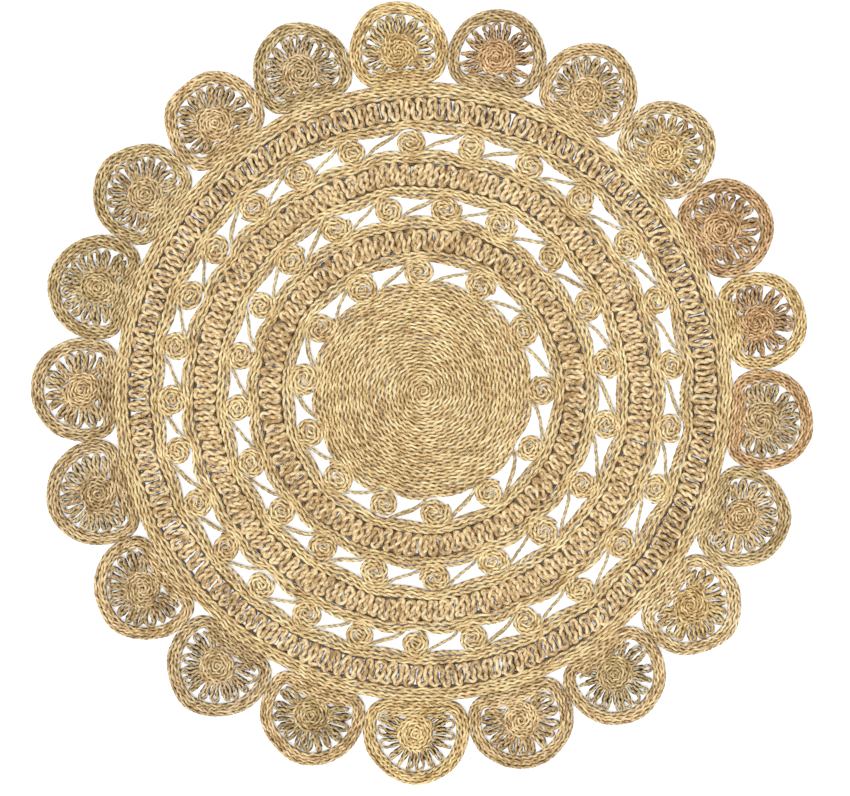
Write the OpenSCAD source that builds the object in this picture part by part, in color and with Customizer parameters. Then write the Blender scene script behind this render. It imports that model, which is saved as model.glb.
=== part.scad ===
// Round area rug of plaited jute cord, sewn together flat.
// A coiled centre, three openwork rounds of small coils, three zigzag rounds,
// each edged by plain rows of cord, and a border of fan-shaped scallops.
// Millimetres. The origin is the middle of the underside, +Z is up.

/* [Overall] */
// Diameter across the tips of opposite scallops
rug_d = 1500; // [1300:10:1900]
// Thickness of the sewn rows of cord
row_h = 9; // [6:0.5:14]
// Width of one sewn row of cord
row_w = 6.8; // [5:0.1:8.5]

/* [Rounds] */
// Width of an openwork round, between its two plain edges
openwork_w = 41; // [32:1:52]
// Width of a zigzag round, between its two plain edges
zigzag_w = 43.6; // [34:0.2:54]
// Rows of cord in each plain edge
edge_rows = 3; // [2:1:4]
// Rows of cord in the last plain edge, which carries the scallops
last_rows = 4; // [3:1:5]
// Thickness of the zigzag cord
zigzag_h = 8.4; // [6:0.2:12]
// Cord used up along a zigzag round by one there-and-back loop, in each round
loop_pitch = [20.8, 20.8, 23]; // [18:0.2:30]

/* [Small coils] */
// Distance from one small coil to the next around an openwork round
coil_spacing = 110.5; // [90:0.5:140]
// Rows of cord from the middle of a small coil to its rim
coil_turns = 4; // [3:1:5]
// Straight stretch that makes a small coil oval
coil_flat = 12; // [4:1:20]
// Thickness of the twisted link cord between two small coils
link_d = 5; // [3:0.2:6]

/* [Scallops] */
// How far the scallops stand out from the last plain edge
scallop_depth = 158; // [140:1:175]
// Radius of a scallop's two inner corners
corner_r = 38; // [32:1:42]
// Rows of cord in a scallop's rim
rim_rows = 4; // [3:1:5]
// Width of one row of a scallop's rim
rim_row_w = 5.9; // [4.5:0.1:6.5]
// Radius of the coil in the middle of a scallop
hub_r = 33; // [28:0.5:37]
// Rows of cord from the middle of a scallop's coil to its rim
hub_turns = 6; // [5:1:8]
// Loops in a scallop's fan
fan_loops = 14; // [10:1:15]
// Thickness of the fan's cord
fan_h = 7.6; // [5:0.2:10]
// Width of the fan's cord at the rim
fan_w = 6; // [4:0.1:7]

/* [Fits] */
// Clearance between pieces that are sewn side by side
sew_gap = 0.3; // [0.1:0.05:0.5]
// Clearance between neighbouring legs of a loop, where they are closest
leg_gap = 1.2; // [0.6:0.1:2]

/* [Hidden] */
SCALLOPS = 21;
ROUNDS = 3;
rug_r = rug_d / 2;
rim_w = rim_rows * rim_row_w;
edge_w = edge_rows * row_w;
round_w = openwork_w + 2 * edge_w + zigzag_w;
base_r = rug_r - scallop_depth;
centre_r = base_r - ROUNDS * round_w - (last_rows - edge_rows) * row_w;
centre_turns = round(centre_r / row_w + 0.5);

// Each row's upper edges are rounded off by this much; the underside is flat
top_bevel = 1.6;
// A rim's corner rows are this much slimmer than the rows they run on from,
// and reach into them by this angle
tuck = 0.05;
lap_angle = 1;

// The maker spaces the pieces by eye, so they drift a little around the rug:
// where the first piece is, how far the pieces drift, and where they drift most
coil_start = [4.2, 7, 7.2];
coil_drift = [5, 3.8, 5.9];
coil_phase = [-32, 27, -7];
scallop_start = -6.9;
scallop_drift = 2.7;
scallop_phase = 121;

// A link leaves the edge this share of the coil's radius past its round end
link_lean = 0.7;

jute = [0.80, 0.67, 0.45];
jute_grey = [0.74, 0.63, 0.44];
jute_gold = [0.83, 0.66, 0.37];
jute_brown = [0.72, 0.54, 0.34];
jute_olive = [0.69, 0.58, 0.40];
jute_shades = [jute, jute_grey, jute_brown, jute, jute_gold, jute_olive, jute];

function two_digits(i) = str(i < 10 ? "0" : "", i);
function rim_name(i) = str("scallop_rim_", two_digits(i));
function fan_name(i) = str("scallop_fan_", two_digits(i));
function round_names(k) = [
  str("small_coils_", k), str("link_cords_", k), str("inner_edge_", k),
  str("zigzag_", k), str("outer_edge_", k)
];

// ---- Sections and rows of cord ----

// Outline of rows of cord lying side by side, from their edges along x.
// Each row is bevelled above, except where it meets the turning axis.
function rows_outline(edges, h) =
  let (last = len(edges) - 1, on_axis = edges[0] == 0)
  concat(
    [[edges[0], 0], [edges[last], 0]],
    [for (i = [last:-1:1]) each [
      [edges[i], h - top_bevel],
      [edges[i] - top_bevel, h],
      if (i > 1 || !on_axis) [edges[i - 1] + top_bevel, h]
    ]],
    [[edges[0], on_axis ? h : h - top_bevel]]
  );

function even_rows(start, count, w) = [for (i = [0:count]) start + i * w];

module turned_rows(edges, h, angle) {
  rotate_extrude(angle = angle, $fn = 96)
    polygon(rows_outline(edges, h));
}

module straight_rows(edges, h, length) {
  rotate([90, 0, 90])
    linear_extrude(length)
      polygon(rows_outline(edges, h));
}

// A plain round edge: rows sewn side by side, all the way round
module plain_edge(inner_r, rows) {
  turned_rows(even_rows(inner_r, rows, row_w), row_h, 360);
}

// Width of one row in a coil of some radius: whole steps of 0.004 mm, so that
// a coil's two halves meet exactly
function coil_pitch(r, turns) = floor(250 * r / (turns - 1 / 2)) / 250;

// A flat spiral of half turns about two centres half a row apart.
// flat is the straight stretch that makes it oval along x.
module spiral(turns, pitch, flat, h) {
  translate([-flat / 2, -pitch / 4, 0])
    rotate(90)
      turned_rows(even_rows(0, turns - 1, pitch), h, 180);
  translate([flat / 2, pitch / 4, 0])
    rotate(-90)
      turned_rows(concat([0], even_rows(pitch / 2, turns - 1, pitch)), h, 180);
  if (flat > 0)
    translate([-flat / 2, 0, 0])
      straight_rows(even_rows(pitch * (3 / 4 - turns), 2 * turns - 1, pitch), h, flat);
}

// ---- Centre ----

module centre_coil() {
  pitch = coil_pitch(centre_r, centre_turns);
  color(jute)
    translate([0, -pitch / 4, 0])
      spiral(centre_turns, pitch, 0, row_h);
}

// ---- The three rounds ----

function openwork_r(k) = centre_r + (k - 1) * round_w;
function zigzag_r(k) = openwork_r(k) + openwork_w + edge_w;
function coil_count(k) = round(2 * PI * (openwork_r(k) + openwork_w / 2) / coil_spacing);
function drifted(turn, start, drift, phase) = start + turn + drift * sin(turn + phase);
function coil_angle(k, i) =
  drifted(360 * i / coil_count(k), coil_start[k - 1], coil_drift[k - 1], coil_phase[k - 1]);

// Small oval coils in an openwork round, lying along it
module small_coils(k) {
  pitch = coil_pitch(openwork_w / 2 - sew_gap, coil_turns);
  middle_r = openwork_r(k) + openwork_w / 2;
  color(jute)
    for (i = [0:coil_count(k) - 1])
      rotate(coil_angle(k, i) - 90)
        translate([0, middle_r - pitch / 4, 0])
          spiral(coil_turns, pitch, coil_flat, row_h);
}

// Each link cord slants from the outer edge beside one coil
// to the inner edge beside the next, and is cut off along both edges
module link_cords(k) {
  inner_r = openwork_r(k);
  outer_r = inner_r + openwork_w;
  beside = coil_flat / 2 + link_lean * openwork_w / 2;
  color(jute_grey)
    for (i = [0:coil_count(k) - 1]) {
      start_angle = coil_angle(k, i) + beside / outer_r * 180 / PI;
      end_angle = coil_angle(k, i + 1) - beside / inner_r * 180 / PI;
      start = outer_r * [cos(start_angle), sin(start_angle)];
      end = inner_r * [cos(end_angle), sin(end_angle)];
      run = end - start;
      spare = 2 * link_d;
      intersection() {
        translate([start[0], start[1], row_h / 2])
          rotate([0, 90, atan2(run[1], run[0])])
            translate([0, 0, -spare])
              cylinder(d = link_d, h = norm(run) + 2 * spare, $fn = 32);
        difference() {
          cylinder(r = outer_r, h = row_h, $fn = 96);
          translate([0, 0, -1])
            cylinder(r = inner_r, h = row_h + 2, $fn = 96);
        }
      }
    }
}

// Straight steps along one edge of a cord's bend: a tight edge needs fewer
function bend_steps(r) = r < 1.5 ? 1 : r < 4 ? 2 : 4;

// Points of one bend's edge: an arc about a place given by its radius and angle
function bend_arc(at_r, at_angle, r, from, to) = [
  for (s = [0:bend_steps(r)])
    let (a = from + (to - from) * s / bend_steps(r))
    at_r * [cos(at_angle), sin(at_angle)] + r * [cos(a), sin(a)]
];

// One edge of a cord laid in radial legs, the first at angle start.
// Odd bends are crowns, far from the middle, and even ones are necks, near it.
// side is 1 for the edge that runs outside the crowns, and -1 for the other.
function looped_edge(start, step, crowns, crown_w, neck_r, neck_w, necks, side) = [
  for (j = [0:len(crowns) - 1])
    let (
      half_sin = sin(step / 2),
      out_leg = start + 2 * j * step,
      in_leg = out_leg + step,
      crown = bend_arc(crowns[j], out_leg + step / 2,
                       crowns[j] * half_sin + side * crown_w / 2,
                       out_leg - 90, in_leg + 90),
      neck = bend_arc(neck_r, in_leg + step / 2,
                      neck_r * half_sin - side * neck_w / 2,
                      in_leg - 90, in_leg + step - 270)
    )
    each (j < necks ? concat(crown, neck) : crown)
];

// One cord laid in tight radial legs and round bends, all the way round
module zigzag(k) {
  loops = round(2 * PI * (zigzag_r(k) + zigzag_w / 2) / loop_pitch[k - 1]);
  step = 180 / loops;
  half_sin = sin(step / 2);
  inner_r = zigzag_r(k) + sew_gap;
  outer_r = zigzag_r(k) + zigzag_w - sew_gap;
  cord_w = (2 * half_sin * inner_r - leg_gap * (1 - half_sin)) / (1 - 2 * half_sin);
  crown_r = (outer_r - cord_w / 2) / (1 + half_sin);
  neck_r = (inner_r + cord_w / 2) / (1 - half_sin);
  crowns = [for (j = [1:loops]) crown_r];
  outside = looped_edge(0, step, crowns, cord_w, neck_r, cord_w, loops, 1);
  inside = looped_edge(0, step, crowns, cord_w, neck_r, cord_w, loops, -1);
  color(jute_grey)
    linear_extrude(zigzag_h)
      polygon(
        concat(outside, inside),
        [[for (i = [0:len(outside) - 1]) i],
         [for (i = [0:len(inside) - 1]) len(outside) + i]]
      );
}

module inner_edge(k) {
  color(jute)
    plain_edge(openwork_r(k) + openwork_w, edge_rows);
}

module outer_edge(k) {
  color(jute)
    plain_edge(zigzag_r(k) + zigzag_w, k < ROUNDS ? edge_rows : last_rows);
}

// ---- Scallops ----

function scallop_angle(i) =
  drifted(360 * i / SCALLOPS, scallop_start, scallop_drift, scallop_phase);

// A scallop reaches halfway to its neighbours and out to the tip circle.
// Either its round touches the halfway line or, on a wide scallop whose corners
// start further out, its corner does.
function scallop_r(i) =
  let (
    halfway = (scallop_angle(i + 1) - scallop_angle(i - 1)) / 4,
    by_round = rug_r * sin(halfway) / (1 + sin(halfway)),
    middle = rug_r - by_round,
    widest_corner = by_round - ((base_r + by_round) ^ 2 - middle ^ 2) / (2 * base_r),
    to_corner = base_r + corner_r,
    corner_y = to_corner * cos(halfway - asin(corner_r / to_corner)),
    by_corner = (to_corner ^ 2 + rug_r ^ 2 - 2 * rug_r * corner_y - corner_r ^ 2)
      / (2 * (rug_r - corner_y - corner_r))
  )
  (corner_r > widest_corner ? by_corner : by_round) - sew_gap;

// Places in a scallop's own frame: its round's centre at 0, 0 and the tip
// along +y, so the rug's centre is at 0, -centre_y
function corner_centre(centre_y, round_r) =
  let (
    to_rug = base_r + corner_r,
    to_round = round_r - corner_r,
    y = (to_rug ^ 2 - to_round ^ 2 - centre_y ^ 2) / (2 * centre_y)
  )
  [sqrt(to_round ^ 2 - y ^ 2), y];

// How far a ray from a point runs before it leaves a circle about 0, 0
function ray_length(from, towards, r) =
  let (along = from * towards, aside = cross(from, towards))
  -along + sqrt(max(0, r ^ 2 - aside ^ 2));

// Rim of a scallop: rows along the round, both corners and the last plain edge,
// and one short row that fills the flat side
module scallop_rim(i) {
  round_r = scallop_r(i);
  centre_y = rug_r - round_r;
  corner = corner_centre(centre_y, round_r);
  round_angle = atan2(corner[0], corner[1]);
  foot_angle = atan2(corner[0], corner[1] + centre_y);
  color(jute_shades[i % len(jute_shades)])
    rotate(scallop_angle(i) - 90)
      translate([0, centre_y, 0]) {
        rotate(90 - round_angle)
          turned_rows(even_rows(round_r - rim_w, rim_rows, rim_row_w), row_h, 2 * round_angle);
        for (side = [0, 1])
          mirror([side, 0, 0])
            translate([corner[0], corner[1], 0])
              rim_corner(-90 - foot_angle, 180 + foot_angle - round_angle);
        translate([0, -centre_y, 0])
          rotate(90 - foot_angle)
            turned_rows(even_rows(base_r, rim_rows + 1, rim_row_w), row_h, 2 * foot_angle);
      }
}

// The rim's rows round one inner corner, tucked into the rows at both ends
module rim_corner(from, angle) {
  outer_rows = even_rows(corner_r - rim_w, rim_rows, rim_row_w);
  edges = [for (i = [0:rim_rows])
    outer_rows[i] + (i == 0 ? tuck : i == rim_rows ? -tuck : 0)];
  translate([0, 0, tuck])
    rotate(from - lap_angle)
      turned_rows(edges, row_h - 2 * tuck, angle + 2 * lap_angle);
}

// How far from the coil's middle one crown of a fan's loop lies, at an angle
// from straight outwards: just inside the rim's round or its corner
function crown_at(middle, half_sin, hub, corner, round_r) =
  let (
    out = [sin(middle), cos(middle)],
    spare = fan_w / 2 + sew_gap + half_sin * ray_length(hub, out, round_r - rim_w),
    on_round = ray_length(hub, out, round_r - rim_w - spare),
    at = hub + on_round * out,
    past_corner = atan2(abs(at[0]), at[1]) > atan2(corner[0], corner[1]),
    near_corner = [sign(at[0]) * corner[0], corner[1]],
    in_corner = ray_length(hub - near_corner, out, corner_r - rim_w - spare)
  )
  past_corner ? in_corner : on_round;

// Fan of a scallop: a coil and the loops around it
module scallop_fan(i) {
  round_r = scallop_r(i);
  centre_y = rug_r - round_r;
  corner = corner_centre(centre_y, round_r);
  foot_angle = atan2(corner[0], corner[1] + centre_y);
  filled_r = base_r + rim_w + rim_row_w;
  hub = [0, filled_r + sew_gap + hub_r - centre_y];
  // The last leg just clears the end of the short filling row
  fill_end = filled_r * [sin(foot_angle), cos(foot_angle)] - [0, centre_y] - hub;
  half_spread = atan2(fill_end[0], fill_end[1]) - asin((fan_w / 2 + sew_gap) / norm(fill_end));
  step = 2 * half_spread / (2 * fan_loops - 1);
  half_sin = sin(step / 2);
  neck_w = (2 * half_sin * (hub_r + sew_gap) - leg_gap * (1 - half_sin)) / (1 - 2 * half_sin);
  neck_r = (hub_r + sew_gap + neck_w / 2) / (1 - half_sin);
  crowns = [for (j = [0:fan_loops - 1])
    crown_at(half_spread - (2 * j + 1 / 2) * step, half_sin, hub, corner, round_r)];
  first_leg = 90 - half_spread;
  last_leg = 90 + half_spread;
  foot_r = neck_r * cos(step / 2);
  foot_angle_off = atan2(neck_w / 2, foot_r);
  outside = looped_edge(first_leg, step, crowns, fan_w, neck_r, neck_w, fan_loops - 1, 1);
  inside = looped_edge(first_leg, step, crowns, fan_w, neck_r, neck_w, fan_loops - 1, -1);
  hub_pitch = coil_pitch(hub_r, hub_turns);
  color(jute_shades[(i + 2) % len(jute_shades)])
    rotate(scallop_angle(i) - 90)
      translate([hub[0], centre_y + hub[1], 0]) {
        translate([0, -hub_pitch / 4, 0])
          spiral(hub_turns, hub_pitch, 0, row_h);
        linear_extrude(fan_h)
          polygon(concat(
            [foot_r * [cos(first_leg - foot_angle_off), sin(first_leg - foot_angle_off)]],
            outside,
            [for (side = [1, -1])
              foot_r * [cos(last_leg + side * foot_angle_off), sin(last_leg + side * foot_angle_off)]],
            [for (p = [len(inside) - 1:-1:0]) inside[p]],
            [foot_r * [cos(first_leg + foot_angle_off), sin(first_leg + foot_angle_off)]]
          ));
      }
}

// ---- Nodes ----

centre_coil();
for (k = [1:ROUNDS]) {
  small_coils(k);
  link_cords(k);
  inner_edge(k);
  zigzag(k);
  outer_edge(k);
}
for (i = [1:SCALLOPS]) {
  scallop_rim(i);
  scallop_fan(i);
}
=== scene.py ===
import math

import bpy
import numpy as np
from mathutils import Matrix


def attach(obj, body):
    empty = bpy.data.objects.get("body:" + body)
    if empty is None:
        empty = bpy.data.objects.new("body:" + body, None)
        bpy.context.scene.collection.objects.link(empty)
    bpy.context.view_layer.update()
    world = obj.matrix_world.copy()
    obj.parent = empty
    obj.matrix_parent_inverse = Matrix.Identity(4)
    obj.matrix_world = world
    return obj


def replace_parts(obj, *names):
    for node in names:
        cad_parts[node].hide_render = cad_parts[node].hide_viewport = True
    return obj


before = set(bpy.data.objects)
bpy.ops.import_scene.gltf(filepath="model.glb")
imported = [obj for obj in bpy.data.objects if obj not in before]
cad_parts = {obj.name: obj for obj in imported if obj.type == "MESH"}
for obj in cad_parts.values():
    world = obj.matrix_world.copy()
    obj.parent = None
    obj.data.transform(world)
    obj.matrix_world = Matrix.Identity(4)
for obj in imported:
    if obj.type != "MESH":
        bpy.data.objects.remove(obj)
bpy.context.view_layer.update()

# ---- Centre coil ----
# The middle of the rug is one jute plait wound into a tight flat coil and sewn
# edge to edge. Three strands of loosely spun jute make up the plait.

MM = 0.001
TURN = 2 * math.pi
CENTRE_R = 208.6
CENTRE_FIRST = 0.2
CENTRE_STEPS = 13

# A row of plait. The plait is a little wider than its row, because the rows are
# sewn snug against each other
ROW_W = 6.8
ROW_H = 8.8
SNUG = 1.03

# The openwork rounds around the coil: the radius inside each, their width, how
# many small coils each holds, and where round the rug the maker set them
OPENWORK_R = [209.0, 334.4, 459.8]
OPENWORK_W = 41.0
COILS = [13, 20, 27]
COIL_START = [4.2, 7.0, 7.2]
COIL_DRIFT = [5.0, 3.8, 5.9]
COIL_PHASE = [-32.0, 27.0, -7.0]

rng = np.random.RandomState(7)


def unit(v):
    return v / np.linalg.norm(v, axis=1)[:, None]


def polar(angle, r):
    return np.column_stack([r * np.cos(angle), r * np.sin(angle)])


def coil_angle(k, i):
    """Where round the rug small coil i of openwork round k sits, in radians."""
    turn = 360 * i / COILS[k]
    drift = COIL_DRIFT[k] * math.sin(math.radians(turn + COIL_PHASE[k]))
    return math.radians(COIL_START[k] + turn + drift)


def slow_waves(seed, shortest, longest, count=14):
    """A smooth unevenness over the rug, about -1 to 1, from waves in all directions."""
    pick = np.random.RandomState(seed)
    way, start = pick.uniform(0, TURN, (2, count))
    length = pick.uniform(shortest, longest, count)
    wave = polar(way, TURN / length)
    size = math.sqrt(2 / count)
    return lambda p: size * np.sin(p[:, :2] @ wave.T + start).sum(1)


# How far the rows wander, how far they bulge past a small coil and draw in
# between two, and how far that reaches along the rows and fades across them
wander_x = slow_waves(seed=11, shortest=70, longest=260)
wander_y = slow_waves(seed=12, shortest=70, longest=260)
WANDER = 1.1
COIL_PUSH = 4.3
WINDOW_PULL = [4.8, 5.6, 7.2]
COIL_REACH = 29
PUSH_FADE = 14


def hand_laid(p):
    """Points moved as sewing by hand moves them: rows wander and bulge round the small coils."""
    r = np.hypot(p[:, 0], p[:, 1])
    angle = np.arctan2(p[:, 1], p[:, 0])
    push = np.zeros(len(p))
    for k, inner in enumerate(OPENWORK_R):
        outer = inner + OPENWORK_W
        at = np.sort([coil_angle(k, i) % TURN for i in range(COILS[k])])
        at = np.concatenate([at[-1:] - TURN, at, at[:1] + TURN])
        here = angle % TURN
        after = np.clip(np.searchsorted(at, here), 1, len(at) - 1)
        near = np.minimum(here - at[after - 1], at[after] - here) * (inner + outer) / 2
        pull = WINDOW_PULL[k]
        bulge = (COIL_PUSH + pull) * np.exp(-((near / COIL_REACH) ** 2)) - pull
        across = np.clip(2 * (r - inner) / OPENWORK_W - 1, -1, 1)
        away = np.maximum(0, np.maximum(inner - r, r - outer))
        push += bulge * across * np.exp(-away / PUSH_FADE)
    moved = p.copy()
    moved[:, 0] += push * np.cos(angle) + WANDER * wander_x(p)
    moved[:, 1] += push * np.sin(angle) + WANDER * wander_y(p)
    return moved


def even_steps(path, step, closed=False, whole=1):
    """The path with its points evenly spaced, and their spacing.

    The number of steps is a multiple of whole, so that a closed plait meets itself.
    """
    path = np.vstack([path, path[:1]]) if closed else path
    run = np.concatenate([[0], np.cumsum(np.linalg.norm(np.diff(path[:, :2], axis=0), axis=1))])
    count = max(2, round(run[-1] / step / whole)) * whole
    at = np.linspace(0, run[-1], count + 1)
    points = np.column_stack([np.interp(at, run, path[:, c]) for c in range(path.shape[1])])
    return (points[:-1] if closed else points), run[-1] / count


def heading(line, closed):
    ahead = np.roll(line, -1, 0) - np.roll(line, 1, 0)
    if not closed:
        ahead[0], ahead[-1] = line[1] - line[0], line[-1] - line[-2]
    return unit(ahead)


def leftwards(ahead):
    return unit(np.column_stack([-ahead[:, 1], ahead[:, 0]]))


def uneven(n, change, closed=False):
    """Smooth random values for n points: change is how much, and over how many points."""
    much, every = change
    count = max(2, n // every)
    knots = rng.uniform(-1, 1, count + 1)
    if closed:
        knots[-1] = knots[0]
    at = np.linspace(0, count, n + closed)[:n]
    share = at % 1
    share = share * share * (3 - 2 * share)
    low = np.minimum(at.astype(int), count - 1)
    return much * (knots[low] * (1 - share) + knots[low + 1] * share)


# The plait: over what length its pattern repeats and how much that varies. The
# rest are shares of its width or height: half a strand's width and height, how
# far the strands cross, how thin an open end is, and half the flat core
PLAIT_LAY = 58
LAY_VARIES = (0.86, 1.14)
STRAND_W = 0.335
STRAND_H = 0.26
STRAND_SWING = 0.56
END_W = 0.6
# The flat core lies low under the strands and takes the painted shade colour, so painted shade,
# not floor, shows between strands and rows
CORE_W = 0.47
CORE_UP = 0.17

# The two-ply twist, as shares of its width: over what length it turns once, half
# a ply's width, and how far a ply stands out
TWIST_LAY = 3.4
TWIST_STEPS = 9
PLY_W = 0.29
PLY_OUT = 0.21

# How uneven hand work is: how much, and over how many points it changes. A
# strand strays by a share of the plait's width
STRAND_STRAY = 0.06
STRAY_POINTS = 5
ROW_WAVER = (0.4, 9)
ROW_BUNCH = (0.5, 45)
LAY_SLIP = (1.1, 13)
LAY_DRIFT = (0.8, 37)
FULLNESS = (0.07, 31)
STRAND_SWELL = (0.16, 6)
STRAND_PRESS = (0.08, 6)
STRAND_SLIP = (0.25, 8)
PLY_SWELL = (0.2, 5)
PLY_SLIP = (0.8, 7)
SHADE_PATCHES = (0.8, 6)
SHADE_FLECKS = (0.8, 2)

# The sides of a strand's mesh, how its fibres turn, and the map that its colours
# are laid out on: the points in one cell, and a cell's margins
SIDES = 6
FIBRE_TWIST = 0.35
FIBRE_START = 500
MAP_RUN = 24
MAP_MARGIN = np.array([0.03, 0.1])
MAP_CAP = 0.4


def strand_mesh(name, verts, faces, uv, strand_at, shades):
    """The strands' mesh, carrying where each point is on its strand and its shade."""
    mesh = bpy.data.meshes.new(name)
    mesh.vertices.add(len(verts))
    mesh.vertices.foreach_set("co", (verts * MM).astype(np.float32).ravel())
    mesh.loops.add(faces.size)
    mesh.loops.foreach_set("vertex_index", faces.astype(np.int32).ravel())
    mesh.polygons.add(len(faces))
    mesh.polygons.foreach_set("loop_start", np.arange(0, faces.size, 4, dtype=np.int32))
    mesh.update(calc_edges=True)
    mesh.shade_smooth()
    mesh.uv_layers.new(name="OFBake").data.foreach_set("uv", uv.astype(np.float32).ravel())
    mesh.attributes.new("strand_at", "FLOAT_VECTOR", "POINT").data.foreach_set(
        "vector", strand_at.astype(np.float32).ravel())
    mesh.attributes.new("strand_shade", "FLOAT", "POINT").data.foreach_set(
        "value", shades.astype(np.float32))
    return mesh


class Cordage:
    """The strands of one piece, laid one after another and joined into one mesh."""

    def __init__(self, warp=hand_laid):
        self.warp = warp
        self.strands = []

    def strand(self, line, wide, thick, step, closed):
        self.strands.append((line, wide, thick, step, closed, rng.uniform(-0.5, 0.5)))

    def plait(self, path, w, h, closed=False, lay=PLAIT_LAY, steps=18):
        """Three strands plaited on edge round a flat core, along a path: w wide, h high.

        A path's third column, if there is one, is half the core's width. The plait's
        pattern repeats over lay, in so many steps.
        """
        lay *= rng.uniform(*LAY_VARIES)
        points, step = even_steps(path, lay / steps, closed, steps if closed else 1)
        n = len(points)
        core = points[:, 2] if points.shape[1] > 2 else np.full(n, CORE_W * w)
        points = points[:, :2]
        left = leftwards(heading(points, closed))
        stray = uneven(n, ROW_WAVER, closed) + uneven(n, ROW_BUNCH, closed)
        points = points + left * stray[:, None]
        start = rng.uniform(0, TURN)
        loose = uneven(n, LAY_SLIP, closed) + uneven(n, LAY_DRIFT, closed)
        full = 1 + uneven(n, FULLNESS, closed)
        if not closed:
            end = np.minimum(np.arange(n), np.arange(n)[::-1]) * step / w
            full *= np.minimum(1, END_W + (1 - END_W) * end)
        hand = rng.choice([-1, 1, 1, 1])  # one plait in four is worked the other way
        for k in range(3):
            wide = STRAND_W * w * full * (1 + uneven(n, STRAND_SWELL, closed))
            thick = STRAND_H * h * full * (1 + uneven(n, STRAND_PRESS, closed))
            phase = TURN * np.arange(n) / steps + start + loose + TURN * k / 3
            phase += uneven(n, STRAND_SLIP, closed)
            aside = hand * (STRAND_SWING * w - wide) * np.sin(2 * phase)
            aside += uneven(n, (STRAND_STRAY * w, STRAY_POINTS), closed)
            z = h / 2 + (h / 2 - thick) * np.sin(phase)
            line = np.column_stack([points + left * aside[:, None], z])
            self.strand(line, wide, thick, step, closed)
        # A flat core strand low under the plait: it takes the painted shade colour and fills the
        # gaps between strands with painted shade
        half = points[::2]
        if len(half) > 3:
            low = np.full(len(half), CORE_UP * h)
            self.strand(np.column_stack([half, low]), core[::2], low, 2 * step, closed)

    def twist(self, path, w):
        """Two plies twisted round each other along a path that gives its own heights."""
        points, step = even_steps(path, TWIST_LAY * w / TWIST_STEPS)
        left = leftwards(heading(points, False))
        n = len(points)
        start = rng.uniform(0, TURN)
        for k in range(2):
            ply = PLY_W * w * (1 + uneven(n, PLY_SWELL))
            phase = TURN * np.arange(n) / TWIST_STEPS + start + math.pi * k + uneven(n, PLY_SLIP)
            flat = points[:, :2] + left * (PLY_OUT * w * np.cos(phase))[:, None]
            z = points[:, 2] + PLY_OUT * w * np.sin(phase)
            self.strand(np.column_stack([flat, z]), ply, ply, step, False)

    def finished(self, name, material, slot):
        """The joined mesh as an object that rides on the rug."""
        ring = TURN * np.arange(SIDES) / SIDES
        verts, faces, strand_at, shades, cells, spots = [], [], [], [], [], []
        base = cell = 0
        for line, wide, thick, step, closed, tone in self.strands:
            line = line.copy()
            line[:, :2] = self.warp(line[:, :2])
            n = len(line)
            ahead = heading(line, closed)
            out = np.column_stack([leftwards(ahead), np.zeros(n)])
            up = np.cross(ahead, out)
            girth = (out[:, None] * (wide[:, None] * np.cos(ring))[..., None]
                     + up[:, None] * (thick[:, None] * np.sin(ring))[..., None])
            verts.append((line[:, None] + girth).reshape(-1, 3))
            along = step * np.arange(n)
            spin = ring + (FIBRE_TWIST * along)[:, None]
            strand_at.append(np.column_stack([
                np.repeat(along + FIBRE_START * tone, SIDES),
                (wide[:, None] * np.cos(spin)).ravel(),
                (wide[:, None] * np.sin(spin)).ravel()]))
            patchy = uneven(n, SHADE_PATCHES, closed) + uneven(n, SHADE_FLECKS, closed)
            shades.append(np.repeat(tone + patchy, SIDES))
            rows = n if closed else n - 1
            i, j = np.divmod(np.arange(rows * SIDES), SIDES)
            i2, j2 = (i + 1) % n, (j + 1) % SIDES
            faces.append(base + np.column_stack(
                [i * SIDES + j, i * SIDES + j2, i2 * SIDES + j2, i2 * SIDES + j]))
            a = i % MAP_RUN
            spots.append(np.stack([np.column_stack([a, a, a + 1, a + 1]) / MAP_RUN,
                                   np.column_stack([j, j + 1, j + 1, j]) / SIDES], -1))
            cells.append(cell + i // MAP_RUN)
            cell = cells[-1][-1] + 1
            if not closed:
                fan = np.array([[0, q + 1, q + 2, q + 3] for q in range(0, SIDES - 2, 2)])
                for cap in (fan[:, ::-1], fan + (n - 1) * SIDES):
                    faces.append(base + cap)
                    around = polar(TURN * (cap % SIDES).ravel() / SIDES, 1).reshape(-1, 4, 2)
                    spots.append(0.5 + MAP_CAP * around)
                    cells.append(np.full(len(cap), cell))
                    cell += 1
            base += n * SIDES
        verts, faces, strand_at = map(np.concatenate, (verts, faces, strand_at))
        spots, cells = np.concatenate(spots), np.concatenate(cells)
        across = max(1, round(math.sqrt(cell / 4)))
        down = -(-cell // across)
        corner = np.column_stack([cells % across, cells // across])[:, None]
        uv = (corner + MAP_MARGIN + spots * (1 - 2 * MAP_MARGIN)) / [across, down]
        mesh = strand_mesh(name, verts, faces, uv, strand_at, np.concatenate(shades))
        mesh.materials.append(material)
        piece = bpy.data.objects.new(name, mesh)
        bpy.context.scene.collection.objects.link(piece)
        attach(piece, "root")
        return piece


# How much each thing changes a strand's tone: its fibres, plies and lumps, the
# strand itself, and patches and blotches over the rug
FIBRE_TONE = 0.3
PLY_TONE = 0.5
LUMP_TONE = 0.3
STRAND_TONE = 0.4
PATCH_TONE = 0.16
BLOTCH_TONE = 0.13
FULL_TONE = 0.75

# Dry fibres are roughest, and plies stand higher than fibres do
ROUGHEST, SMOOTHEST = 0.94, 0.72
PLY_RISE = 1.2

# Painted shade on the low parts of the strands, where shade falls between them: it is full below
# the first height, in metres, and gone at the second
PAINTED_SHADE_FULL = 0.0026
PAINTED_SHADE_GONE = 0.0082


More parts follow.
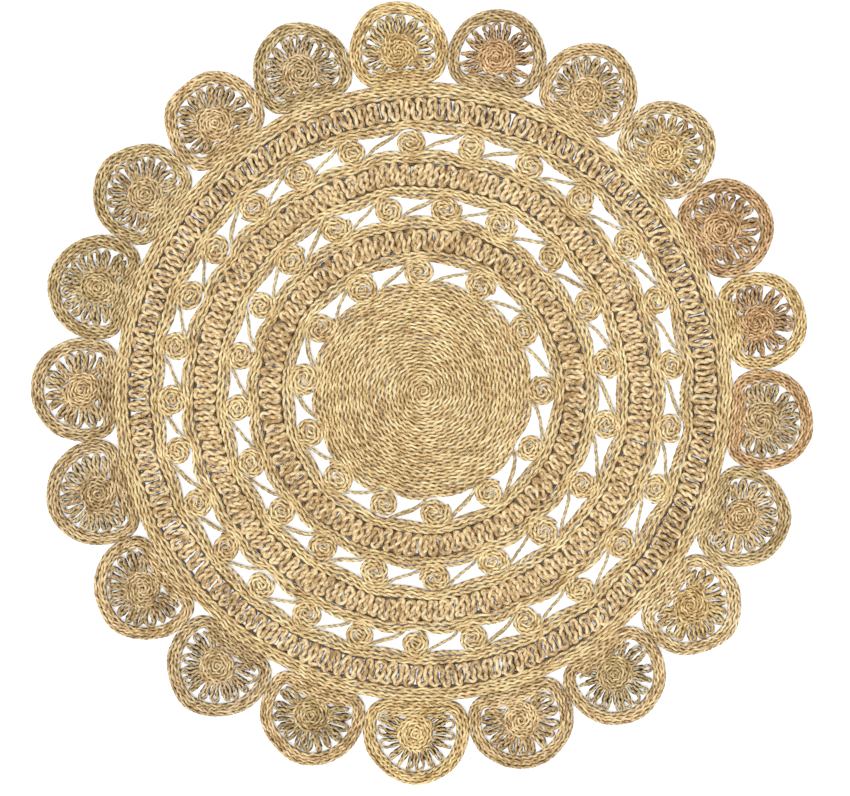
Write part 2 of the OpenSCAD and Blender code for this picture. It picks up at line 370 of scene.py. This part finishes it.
def jute_fibre_group():
    """Jute spun into a strand: streaks of fibre along it, uneven colour, and painted shade low
    down.
    """
    group = bpy.data.node_groups.new("Jute fibre", "ShaderNodeTree")
    new_socket = group.interface.new_socket
    for name in ("Light", "Middle", "Dark", "Painted shade"):
        new_socket(name, in_out="INPUT", socket_type="NodeSocketColor")
    new_socket("Unevenness", in_out="INPUT", socket_type="NodeSocketFloat")
    new_socket("Color", in_out="OUTPUT", socket_type="NodeSocketColor")
    new_socket("Roughness", in_out="OUTPUT", socket_type="NodeSocketFloat")
    new_socket("Height", in_out="OUTPUT", socket_type="NodeSocketFloat")
    nodes, link = group.nodes, group.links.new
    given, result = nodes.new("NodeGroupInput"), nodes.new("NodeGroupOutput")

    def attribute(name):
        node = nodes.new("ShaderNodeAttribute")
        node.attribute_name = name
        return node

    def noise(vector, stretch, detail=2.0):
        scaled = nodes.new("ShaderNodeVectorMath")
        scaled.operation = "MULTIPLY"
        link(vector, scaled.inputs[0])
        scaled.inputs[1].default_value = stretch
        node = nodes.new("ShaderNodeTexNoise")
        node.inputs["Scale"].default_value = 1.0
        node.inputs["Detail"].default_value = detail
        link(scaled.outputs[0], node.inputs["Vector"])
        return node.outputs["Fac"]

    def ranged(value, low, high, to_low=0.0, to_high=1.0):
        node = nodes.new("ShaderNodeMapRange")
        link(value, node.inputs["Value"])
        for name, number in (("From Min", low), ("From Max", high),
                             ("To Min", to_low), ("To Max", to_high)):
            node.inputs[name].default_value = number
        return node.outputs["Result"]

    def swayed(noise_value, much, low=0.32):
        """A noise value as -much to much, without the noise's rare ends."""
        return ranged(noise_value, low, 1 - low, -much, much)

    def sum_of(a, b, by=1.0):
        node = nodes.new("ShaderNodeMath")
        node.operation = "MULTIPLY_ADD"
        link(b, node.inputs[0])
        node.inputs[1].default_value = by
        link(a, node.inputs[2])
        return node.outputs[0]

    def mixed(share, a, b):
        node = nodes.new("ShaderNodeMix")
        node.data_type = "RGBA"
        link(share, node.inputs["Factor"])
        link(a, node.inputs["A"])
        link(b, node.inputs["B"])
        return node.outputs["Result"]

    strand_at = attribute("strand_at").outputs["Vector"]
    strand_shade = attribute("strand_shade").outputs["Fac"]
    place = nodes.new("ShaderNodeTexCoord").outputs["Object"]
    height = nodes.new("ShaderNodeSeparateXYZ")
    link(place, height.inputs[0])

    # Fibres, plies and lumps are drawn out along the strand. Blotches and patches
    # lie over the rug as a whole
    fibres = noise(strand_at, (0.05, 2.2, 2.2), 3.0)
    plies = noise(strand_at, (0.07, 0.75, 0.75))
    lumps = noise(strand_at, (0.2, 0.25, 0.25))
    blotches = noise(place, (9, 9, 9))
    patches = noise(place, (38, 38, 38))
    tone = sum_of(swayed(fibres, FIBRE_TONE, 0.3), swayed(plies, PLY_TONE))
    tone = sum_of(tone, swayed(lumps, LUMP_TONE))
    tone = sum_of(tone, strand_shade, STRAND_TONE)
    tone = sum_of(tone, swayed(patches, PATCH_TONE, 0.3))
    tone = sum_of(tone, swayed(blotches, 1), BLOTCH_TONE)
    full_tone = nodes.new("ShaderNodeMath")
    full_tone.operation = "MULTIPLY"
    link(tone, full_tone.inputs[0])
    link(given.outputs["Unevenness"], full_tone.inputs[1])
    darker = ranged(full_tone.outputs[0], -FULL_TONE, 0.0)
    lighter = ranged(full_tone.outputs[0], 0.0, FULL_TONE)
    # Painted shade: the lower a point lies, the more its colour turns to the painted shade
    # colour
    unshaded = ranged(height.outputs["Z"], PAINTED_SHADE_FULL, PAINTED_SHADE_GONE)
    colour = mixed(darker, given.outputs["Dark"], given.outputs["Middle"])
    colour = mixed(lighter, colour, given.outputs["Light"])
    colour = mixed(unshaded, given.outputs["Painted shade"], colour)
    link(colour, result.inputs["Color"])
    link(ranged(fibres, 0.3, 0.7, ROUGHEST, SMOOTHEST), result.inputs["Roughness"])
    link(sum_of(fibres, plies, PLY_RISE), result.inputs["Height"])
    return group


jute_fibre = jute_fibre_group()


def shade(red, green, blue):
    """A colour as the eye matches it, 0 to 255, for a shader's socket."""
    return tuple(((c / 255 + 0.055) / 1.055) ** 2.4 for c in (red, green, blue)) + (1.0,)


# From a jute's middle colour to its lightest and darkest fibres, and to its painted shade low
# down
TO_LIGHT = [34, 38, 42]
LIGHTEST = 250
TO_DARK = [0.73, 0.67, 0.57]
TO_PAINTED_SHADE = [1, 0.8, 0.56]


def jute(name, middle, unevenness=1.0, painted_shade_share=0.34):
    """Undyed jute of one tone: its lighter and darker fibres and its painted shade low down
    follow from it.
    """
    material = bpy.data.materials.new(name)
    material.use_nodes = True
    nodes, link = material.node_tree.nodes, material.node_tree.links.new
    surface = nodes["Principled BSDF"]
    fibre = nodes.new("ShaderNodeGroup")
    fibre.node_tree = jute_fibre
    middle = np.array(middle, float)
    fibre.inputs["Light"].default_value = shade(*np.minimum(middle + TO_LIGHT, LIGHTEST))
    fibre.inputs["Middle"].default_value = shade(*middle)
    fibre.inputs["Dark"].default_value = shade(*(middle * TO_DARK))
    # The painted shade colour, darker than the jute, for the low parts of the strands
    fibre.inputs["Painted shade"].default_value = shade(*(middle * painted_shade_share * TO_PAINTED_SHADE))
    fibre.inputs["Unevenness"].default_value = unevenness
    grain = nodes.new("ShaderNodeBump")
    grain.inputs["Strength"].default_value = 0.5
    grain.inputs["Distance"].default_value = 0.0004
    link(fibre.outputs["Color"], surface.inputs["Base Color"])
    link(fibre.outputs["Roughness"], surface.inputs["Roughness"])
    link(fibre.outputs["Height"], grain.inputs["Height"])
    link(grain.outputs["Normal"], surface.inputs["Normal"])
    surface.inputs["Sheen Weight"].default_value = 0.12
    surface.inputs["Specular IOR Level"].default_value = 0.25
    return material


natural = jute("natural_jute", (227, 196, 141))


def wound(first, last, row, begin=0.0, spin=1):
    """A coil of cord from its first to its last turn, set as round as it can be."""
    turns = np.linspace(first, last, int(60 * last) + 20)
    coil = polar(begin + spin * TURN * turns, row * turns)
    return coil - polar(np.array([begin + spin * TURN * last]), row / 4)


centre = Cordage()
coil = wound(CENTRE_FIRST, CENTRE_R / ROW_W, ROW_W)
centre.plait(coil, ROW_W * SNUG, ROW_H, steps=CENTRE_STEPS)
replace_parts(centre.finished("centre_coil_plait", natural, "jute"), "centre_coil")

# ---- Plain edges ----
# Rows of the same plait run round the rug on both sides of each zigzag round and
# hold it. They are sewn to each other along their sides.

EDGE_ROWS = 3
EDGE_W = EDGE_ROWS * ROW_W
EDGE_FLATTEST = 0.94
LAST_ROWS = 4
ZIGZAG_W = 43.6


def plain_edge(inner_r, rows, name, node):
    edge = Cordage()
    for row in range(rows):
        r = inner_r + (row + 0.5) * ROW_W
        around = np.linspace(0, TURN, int(r), endpoint=False) + rng.uniform(0, TURN)
        high = ROW_H * rng.uniform(EDGE_FLATTEST, 1)
        edge.plait(polar(around, r), ROW_W * SNUG, high, closed=True)
    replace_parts(edge.finished(name, natural, "jute"), node)


for k in range(3):
    inner_r = OPENWORK_R[k] + OPENWORK_W
    plain_edge(inner_r, EDGE_ROWS, f"inner_edge_{k + 1}_plait", f"inner_edge_{k + 1}")
    outer_r = inner_r + EDGE_W + ZIGZAG_W
    rows = EDGE_ROWS if k < 2 else LAST_ROWS
    plain_edge(outer_r, rows, f"outer_edge_{k + 1}_plait", f"outer_edge_{k + 1}")

# ---- Small coils ----
# Each openwork round holds small oval coils of plait, wound by hand and sewn to
# the rows inside and outside them.

COIL_FIRST = 0.5
COIL_TURNS = 3.4
TURNS_OFF = 0.25
COIL_ROW = 6.35
COIL_H = ROW_H * 0.98
COIL_LAY = 38
COIL_FLAT = 13
FLAT_LEAST, FLAT_MOST = 0.7, 1.15
FLAT_EASE = 5
COIL_SIZE_OFF = 0.03

# A coil's plait presses on its own turns more than a plain row's does
TIGHT = 1.1

for k in range(3):
    coils = Cordage()
    for i in range(COILS[k]):
        at = coil_angle(k, i)
        turns = COIL_TURNS + rng.uniform(-TURNS_OFF, TURNS_OFF)
        flat = COIL_FLAT / 2 * rng.uniform(FLAT_LEAST, FLAT_MOST)
        spin = rng.choice([-1, 1])
        local = wound(COIL_FIRST, turns, COIL_ROW, -COIL_FIRST * spin * TURN, spin)
        local[:, 0] += flat * np.tanh(local[:, 0] / FLAT_EASE)
        local = np.vstack([[-flat - 1, 0], local]) * rng.choice([-1, 1], 2)
        local *= 1 + COIL_SIZE_OFF * rng.uniform(-1, 1, 2)
        tangent = np.array([-math.sin(at), math.cos(at)])
        outward = np.array([math.cos(at), math.sin(at)])
        middle = outward * (OPENWORK_R[k] + OPENWORK_W / 2)
        path = middle + local[:, :1] * tangent + local[:, 1:] * outward
        coils.plait(path, COIL_ROW * TIGHT, COIL_H, lay=COIL_LAY)
    name = f"small_coils_{k + 1}"
    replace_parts(coils.finished(f"{name}_plait", natural, "jute"), name)

# ---- Link cords ----
# Between two small coils a thin two-ply jute cord slants across the openwork, from
# the row outside one coil to the row inside the next. Its ends are sewn in.

LINK_D = 7.4
LINK_BESIDE = 20.4
LINK_HEIGHT = 4.9
LINK_POINTS = 60
LINK_TUCK = 0.06
LINK_SAG = 2.5

# Some openings have a second, thinner cord that lies loose beside the first
SECOND_SHARE = 0.35
SECOND_D = 0.5 * LINK_D
SECOND_APART = 5

link_jute = jute("link_jute", (210, 186, 134))

for k in range(3):
    links = Cordage()
    for i in range(COILS[k]):
        inner_r, outer_r = OPENWORK_R[k], OPENWORK_R[k] + OPENWORK_W
        start = coil_angle(k, i) + LINK_BESIDE / outer_r
        end = coil_angle(k, i + 1) - LINK_BESIDE / inner_r
        share = np.linspace(-LINK_TUCK, 1 + LINK_TUCK, LINK_POINTS)
        sag = LINK_SAG * np.sin(math.pi * share) * rng.uniform(-1, 1)
        flat = polar(start + (end - start) * share, outer_r + (inner_r - outer_r) * share + sag)
        up = np.full(LINK_POINTS, LINK_HEIGHT)
        links.twist(np.column_stack([flat, up]), LINK_D)
        if rng.uniform() < SECOND_SHARE:
            apart = SECOND_APART * np.sin(math.pi * share)[:, None] * rng.choice([-1, 1])
            loose = flat + apart * leftwards(heading(flat, False))
            links.twist(np.column_stack([loose, up]), SECOND_D)
    name = f"link_cords_{k + 1}"
    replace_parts(links.finished(f"{name}_twist", link_jute, "jute_grey"), name)

# ---- Zigzag rounds ----
# One thick plait runs back and forth across each zigzag round in tight loops.
# The bends lie on a thin, low catch cord, which takes the painted shade colour and shows as
# painted shade in the notches between them. The bends are sewn to the plain edges, and no two
# loops lean quite alike.

LOOPS = [88, 126, 148]
ZIGZAG_CORD = [10.6, 10.4, 9.9]
ZIGZAG_H = 8.4
ZIGZAG_LAY = 50
ZIGZAG_STEPS = 20
LOOP_POINTS = 60
LOOP_ROUNDNESS = 0.125
BEND = 0.72
CATCH_W = [6.5, 6, 4]
CATCH_H = 4
CATCH_STEPS = 6

# How the loops lean, how far past the edge rows they reach, how round they are
# and how they bunch: how much, and over how many points
LONG_LEAN = (3.6, 360)
LOOP_LEAN = (2.4, LOOP_POINTS)
REACH_PAST = 1.3
REACH_OFF = (1.2, 30)
ROUND_OFF = (1.3, LOOP_POINTS)
BUNCHED = [1.5, 1.8, 2.6]

# Where the zigzag cord is thin and the floor shows between its loops, most of
# all in the third round on one side
bare_spots = slow_waves(seed=21, shortest=7, longest=18)
BARE_FROM = [2.2, 1.7, 0.7]
BARE_SIDE = 0.6
BARE_WAY = 4.1
BARE_CORE = 0.2
FULL_CORE = 0.54

# The zigzag jute gets a darker painted shade low down (the last number)
greyed = jute("greyed_jute", (220, 187, 135), 1.35, 0.22)

for k in range(3):
    middle_r = OPENWORK_R[k] + OPENWORK_W + EDGE_W + ZIGZAG_W / 2
    cord_w = ZIGZAG_CORD[k]
    loops = LOOPS[k]
    pitch = TURN * middle_r / loops
    n = loops * LOOP_POINTS
    t = np.arange(n) / LOOP_POINTS
    lean = uneven(n, LONG_LEAN, True) + uneven(n, LOOP_LEAN, True)
    reach = (ZIGZAG_W - cord_w) / 2 + REACH_PAST + uneven(n, REACH_OFF, True)
    aside = (LOOP_ROUNDNESS * pitch + uneven(n, ROUND_OFF, True)) * np.sin(2 * TURN * t)
    bunched = uneven(n, (BUNCHED[k], LOOP_POINTS), True)
    swing = np.cos(TURN * t)
    across = np.sign(swing) * np.abs(swing) ** BEND * reach
    angle = TURN * t / loops + (aside + lean * swing + bunched) / middle_r
    path = polar(angle, middle_r + across)
    worn = bare_spots(path) > BARE_FROM[k] - BARE_SIDE * np.cos(angle - BARE_WAY)
    core = np.where(worn, BARE_CORE * cord_w, FULL_CORE * pitch / 2)
    zigzag = Cordage()
    zigzag.plait(np.column_stack([path, core]), cord_w, ZIGZAG_H, closed=True,
                 lay=ZIGZAG_LAY, steps=ZIGZAG_STEPS)
    # Two low catch cords under the bends, in the painted shade colour, show as painted shade in
    # the notches
    to_catch = ZIGZAG_W / 2 - CATCH_W[k] / 2
    for r in (middle_r - to_catch, middle_r + to_catch):
        around = np.linspace(0, TURN, int(r), endpoint=False)
        zigzag.plait(polar(around, r), CATCH_W[k], CATCH_H, closed=True, steps=CATCH_STEPS)
    name = f"zigzag_{k + 1}"
    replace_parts(zigzag.finished(f"{name}_plait", greyed, "jute_grey"), name)

# ---- Scallops ----
# The border is a row of fan-shaped scallops. Each has a rim of plait rows, a
# coil sewn to its base and one cord looped out from the coil to the rim.

SCALLOPS = 21
SCALLOP_START = -6.9
SCALLOP_DRIFT = 2.7
SCALLOP_PHASE = 121
RUG_R = 750
BASE_R = 592
CORNER_R = 38

# How hand sewing pulls a scallop out of true: how sharply its tip stands out, and
# how far its round sags to one side or bulges on both
TIP_SHARP = 8
SAG_SIDE = 2.4
BULGE_BOTH = 2.2
SLUMP_WIDE = 0.9

# The rim's rows, and the row that fills its base inside them
RIM_ROWS = 4
RIM_ROW = 5.9
RIM_LAY = 47
RIM_FLATTEST = 0.93
FILL_R = BASE_R + (RIM_ROWS + 0.5) * RIM_ROW
FILL_H = ROW_H * 0.95
FILL_SHARE = 0.94

# The coil at the base, pressed a little into the fill row
HUB_R = 33
HUB_ROW = 6
HUB_FIRST = 0.1
HUB_TURNS = 5.85
HUB_SUNK = 0.7

# The looped cord: the width of an even one and how much thinner a loose one is,
# where it turns at the coil, and how far it keeps from the rim and the fill row
FAN_LOOPS = 14
FAN_W = 8.0
FAN_LOOSE = 3.9
FAN_H = 7.8
FAN_LAY = 35
FAN_SPARE = 1.3
FAN_NECK = HUB_R + 0.8
FAN_SHORT = 0.4
FAN_EASE = 0.92
FILL_GAP = 0.3
FILL_OVER = 0.6

# How round the loops are at the rim and at the coil, how wide an even one opens
# and how much less a loose one does
ROUND_OUT, ROUND_IN = 0.26, 0.2
OPEN_EVEN = 0.1
OPEN_LESS = 0.6

# How much the loops stray, run long, lean and waver, and over how many points
FAN_STRAY = (1, 55)
FAN_LONG = (0.9, 55)
FAN_LEAN = (0.2, 55)
FAN_WAVER = (0.3, 13)

# Half the core's width: packed between the loops, where it shows as painted shade, and thin near
# the rim
PACKED_CORE = 0.52
PACKED_TO = 0.94
PACKED_LESS = 0.5
THIN_CORE = 0.35

# The scallop jutes get a darker painted shade low down (the last number)
TONES = {
    "grey": jute("scallop_grey_jute", (201, 172, 123), 1.35, 0.17),
    "honey": jute("scallop_honey_jute", (221, 188, 128), 1.35, 0.17),
    "rust": jute("scallop_rust_jute", (203, 163, 113), 1.35, 0.17),
    "pale": jute("scallop_pale_jute", (223, 193, 142), 1.35, 0.17),
    "tan": jute("scallop_tan_jute", (213, 182, 130), 1.35, 0.17),
    "olive": jute("scallop_olive_jute", (201, 174, 122), 1.35, 0.17),
}
TONE_SLOTS = {"grey": "jute_grey", "honey": "jute_gold", "rust": "jute_brown",
              "pale": "jute", "tan": "jute", "olive": "jute_olive"}
# Rim tone, fan tone, how far the tip stands out, and how uneven the loops are,
# for scallops 1 to 21
SCALLOP_LOOKS = [
    ("honey", "rust", 0, 0.45), ("rust", "rust", 1, 0.2), ("pale", "honey", 5, 0.2),
    ("tan", "tan", 0, 0.3), ("grey", "rust", -3, 0.6), ("honey", "honey", -2, 0.35),
    ("olive", "grey", 2, 0.3), ("tan", "tan", 0, 0.25), ("olive", "grey", 3, 0.3),
    ("olive", "olive", -2, 0.15), ("grey", "tan", 0, 0.3), ("grey", "grey", 2, 0.1),
    ("tan", "grey", -2, 0.15), ("grey", "grey", 3, 0.5), ("tan", "olive", -2, 0.3),
    ("honey", "honey", 1, 0.75), ("tan", "tan", -1, 0.2), ("tan", "olive", 2, 0.65),
    ("pale", "honey", 4, 0.2), ("olive", "tan", -1, 0.25), ("rust", "grey", 0, 0.2),
]


def scallop_angle(i):
    turn = 360 * i / SCALLOPS
    drift = SCALLOP_DRIFT * math.sin(math.radians(turn + SCALLOP_PHASE))
    return math.radians(SCALLOP_START + turn + drift)


def scallop_outline(round_r, centre_y, inset):
    """A scallop's outline, set in by inset: round, corners and base. The tip is along +y."""
    to_rug, to_round = BASE_R + CORNER_R, round_r - CORNER_R
    y = (to_rug ** 2 - to_round ** 2 - centre_y ** 2) / (2 * centre_y)
    x = math.sqrt(to_round ** 2 - y ** 2)
    round_angle = math.atan2(x, y)
    foot_angle = math.atan2(x, y + centre_y)

    def arc(cx, cy, r, start, end, count):
        return np.array([cx, cy]) + polar(np.linspace(start, end, count, endpoint=False), r)

    quarter = math.pi / 2
    return np.vstack([
        arc(0, 0, round_r - inset, quarter - round_angle, quarter + round_angle, 90),
        arc(-x, y, CORNER_R - inset, quarter + round_angle, 3 * quarter + foot_angle, 30),
        arc(0, -centre_y, BASE_R + inset, quarter + foot_angle, quarter - foot_angle, 40),
        arc(x, y, CORNER_R - inset, -quarter - foot_angle, quarter - round_angle, 30),
    ]), foot_angle


def scallop_setting(facing, round_r, centre_y, tip):
    """What carries points from a scallop's own frame to the rug, a little out of true."""
    outward = np.array([math.cos(facing), math.sin(facing)])
    sideways = np.array([outward[1], -outward[0]])
    one_side, both_sides, _ = rng.uniform(-1, 1, 3)

    def set_down(p):
        rho = np.hypot(p[:, 0], p[:, 1])
        off_tip = np.arctan2(p[:, 0], p[:, 1])
        loose = np.clip(np.cos(off_tip * SLUMP_WIDE), 0, 1) ** 2
        shift = (tip * np.cos(off_tip) ** TIP_SHARP
                 + SAG_SIDE * one_side * np.sin(3 * off_tip)
                 + BULGE_BOTH * both_sides * np.cos(4 * off_tip)) * loose * (rho / round_r) ** 2
        p = p * (1 + shift / np.maximum(rho, 1))[:, None]
        return hand_laid(p[:, :1] * sideways + (p[:, 1:] + centre_y) * outward)

    return set_down


def scallop_rim(round_r, centre_y, set_down):
    """The rim's rows, one inside the other, and the row that fills its base."""
    rim = Cordage(set_down)
    for row in range(RIM_ROWS):
        path, foot_angle = scallop_outline(round_r, centre_y, (row + 0.5) * RIM_ROW)
        path = np.roll(path, rng.randint(200), 0)
        high = ROW_H * rng.uniform(RIM_FLATTEST, 1)
        rim.plait(path, RIM_ROW * TIGHT, high, closed=True, lay=RIM_LAY)
    around = math.pi / 2 + FILL_SHARE * np.linspace(-foot_angle, foot_angle, 60)
    rim.plait(polar(around, FILL_R) - [0, centre_y], RIM_ROW * TIGHT, FILL_H, lay=RIM_LAY)
    return rim


def scallop_fan(round_r, centre_y, unevenness, set_down):
    """The coil at a scallop's base, and the cord looped out from it to the rim."""
    fan = Cordage(set_down)
    fan_w = FAN_W - FAN_LOOSE * unevenness
    hub_y = BASE_R + (RIM_ROWS + 1) * RIM_ROW - HUB_SUNK + HUB_R - centre_y
    hub = np.array([0, hub_y])
    coil = wound(HUB_FIRST, HUB_TURNS, HUB_ROW, rng.uniform(0, TURN), rng.choice([-1, 1]))
    fan.plait(hub + coil, HUB_ROW * TIGHT, ROW_H, lay=COIL_LAY)

    # How far the rim is from the coil's middle every way, and how wide the fan spreads
    inside, foot_angle = scallop_outline(round_r, centre_y, RIM_ROWS * RIM_ROW + fan_w / 2)
    ray = inside - hub
    ray_angle = np.arctan2(ray[:, 0], ray[:, 1])
    order = np.argsort(ray_angle)
    ray_angle, ray_length = ray_angle[order], np.hypot(*ray.T)[order]
    fill_end = (FILL_R + RIM_ROW / 2) * np.array([math.sin(foot_angle), math.cos(foot_angle)])
    fill_end -= [0, centre_y + hub_y]
    beside_fill = math.asin((fan_w / 2 + FILL_GAP) / np.hypot(*fill_end))
    half_spread = math.atan2(*fill_end) - beside_fill
    step = 2 * half_spread / (2 * FAN_LOOPS - 1)

    # t counts the loops, swing is 0 at the coil and 1 at the rim, off is the angle
    t = np.linspace(-0.5, FAN_LOOPS - 0.5, FAN_LOOPS * LOOP_POINTS)
    n = len(t)
    stray, long, lean = [uneven(n, change) for change in (FAN_STRAY, FAN_LONG, FAN_LEAN)]
    swing = (1 + np.cos(TURN * t)) / 2
    out = np.interp((2 * t + 0.5) * step - half_spread, ray_angle, ray_length)
    reach = FAN_NECK + (out + long - FAN_SHORT - FAN_NECK) * swing ** FAN_EASE
    loop = np.clip(np.round(t), 0, FAN_LOOPS - 1)
    aside = np.sin(2 * TURN * t) * np.where(swing > 0.5, ROUND_OUT, ROUND_IN)
    opening = OPEN_EVEN - OPEN_LESS * unevenness + uneven(n, (unevenness, LOOP_POINTS))
    opened = 1 + opening * swing
    off = 2 * loop + 0.5 + (2 * (t - loop) + aside) * opened + unevenness * stray * swing
    off = (off + lean + uneven(n, FAN_WAVER)) * step - half_spread
    off *= 1 + FAN_SPARE * step / half_spread
    loops = hub + np.column_stack([reach * np.sin(off), reach * np.cos(off)])

    # No loop comes nearer to the rug's middle than the fill row
    from_rug = np.hypot(loops[:, 0], loops[:, 1] + centre_y)
    nearest = FILL_R + (RIM_ROW + fan_w) / 2 - FILL_OVER
    lift = np.maximum(from_rug, nearest) / from_rug
    loops = (loops + [0, centre_y]) * lift[:, None] - [0, centre_y]
    packed = PACKED_CORE * reach * step
    core = np.where(swing < PACKED_TO - PACKED_LESS * unevenness, packed, THIN_CORE * fan_w)
    fan.plait(np.column_stack([loops, core]), fan_w, FAN_H, lay=FAN_LAY)
    return fan


for i in range(1, SCALLOPS + 1):
    rim_tone, fan_tone, tip, unevenness = SCALLOP_LOOKS[i - 1]
    spread = math.sin((scallop_angle(i + 1) - scallop_angle(i - 1)) / 4)
    round_r = RUG_R * spread / (1 + spread)
    centre_y = RUG_R - round_r
    set_down = scallop_setting(scallop_angle(i), round_r, centre_y, tip)
    rim = scallop_rim(round_r, centre_y, set_down)
    name = f"scallop_rim_{i:02d}"
    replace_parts(rim.finished(f"{name}_plait", TONES[rim_tone], TONE_SLOTS[rim_tone]), name)
    fan = scallop_fan(round_r, centre_y, unevenness, set_down)
    name = f"scallop_fan_{i:02d}"
    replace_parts(fan.finished(f"{name}_plait", TONES[fan_tone], TONE_SLOTS[fan_tone]), name)

# ---- Floor, light and camera ----
# The rug lies on a plain white floor under soft studio light, seen from straight
# above.

FLOOR_SIZE = 60
FLOOR_DOWN = 0.0002
FLOOR_WHITE = 0.9
FLOOR_GLOW = 0.35
STUDIO_GLOW = 0.88
KEY_POWER = 1.75
KEY_SOFT = 30
KEY_TILT = (28, -30)
LENS = 85
SENSOR = 36
VIEW_W = 1.6283
VIEW_MIDDLE = (0.0044, -0.0107)
VIEW_FROM = 0.005

bpy.ops.mesh.primitive_plane_add(size=FLOOR_SIZE, location=(0, 0, -FLOOR_DOWN))
floor = bpy.context.object
floor.name = "studio_floor"
white = bpy.data.materials.new("white_floor")
white.use_nodes = True
paint = white.node_tree.nodes["Principled BSDF"]
paint.inputs["Base Color"].default_value = (FLOOR_WHITE, FLOOR_WHITE, FLOOR_WHITE, 1)
paint.inputs["Roughness"].default_value = 0.9
paint.inputs["Emission Color"].default_value = (1, 1, 1, 1)
paint.inputs["Emission Strength"].default_value = FLOOR_GLOW
floor.data.materials.append(white)

scene = bpy.context.scene
world = bpy.data.worlds.new("studio")
world.use_nodes = True
world.node_tree.nodes["Background"].inputs["Color"].default_value = (1, 1, 1, 1)
world.node_tree.nodes["Background"].inputs["Strength"].default_value = STUDIO_GLOW
scene.world = world
scene.view_settings.view_transform = "Standard"

key = bpy.data.lights.new("soft_key", "SUN")
key.energy = KEY_POWER
key.angle = math.radians(KEY_SOFT)
key_lamp = bpy.data.objects.new("soft_key", key)
key_lamp.rotation_euler = (math.radians(KEY_TILT[0]), math.radians(KEY_TILT[1]), 0)
scene.collection.objects.link(key_lamp)

camera_data = bpy.data.cameras.new("camera")
camera_data.lens = LENS
camera_data.sensor_width = SENSOR
camera = bpy.data.objects.new("camera", camera_data)
camera.location = (*VIEW_MIDDLE, VIEW_W * LENS / SENSOR + VIEW_FROM)
scene.collection.objects.link(camera)
scene.camera = camera
